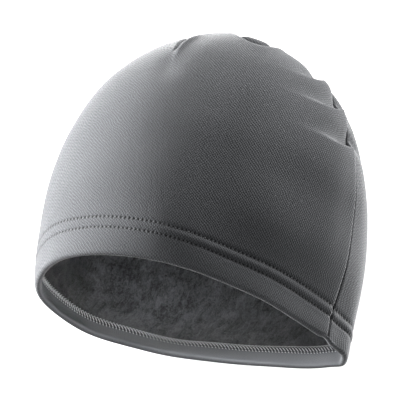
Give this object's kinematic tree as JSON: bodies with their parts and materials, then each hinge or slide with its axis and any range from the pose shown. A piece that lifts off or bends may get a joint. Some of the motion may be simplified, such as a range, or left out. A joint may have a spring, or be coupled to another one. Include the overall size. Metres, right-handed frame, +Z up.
{
  "type": "winter hat",
  "caption": "Close-fitting knitted winter skull cap, a domed cloth shell with a gathered seam over the crown and a turned-up stitched hem, lying on its side.",
  "frame": {"origin": "centre of the bounding box, at the lowest face, which rests on the floor", "axes": "+Z up from the floor, -Y out of the opening and +Y towards the crown, -X the forehead and +X the back seam"},
  "size_m": [0.2042, 0.196, 0.142],
  "materials": {
    "knit_outside": "fine double-faced knit, matt, brushed to a fleece inside",
    "knit_hem": "the same knit's smooth outer face, turned up inside"
  },
  "bodies": {
    "root": {"cap_body": "knit_outside", "hem_turn_up": "knit_hem"}
  },
  "joints": []
}
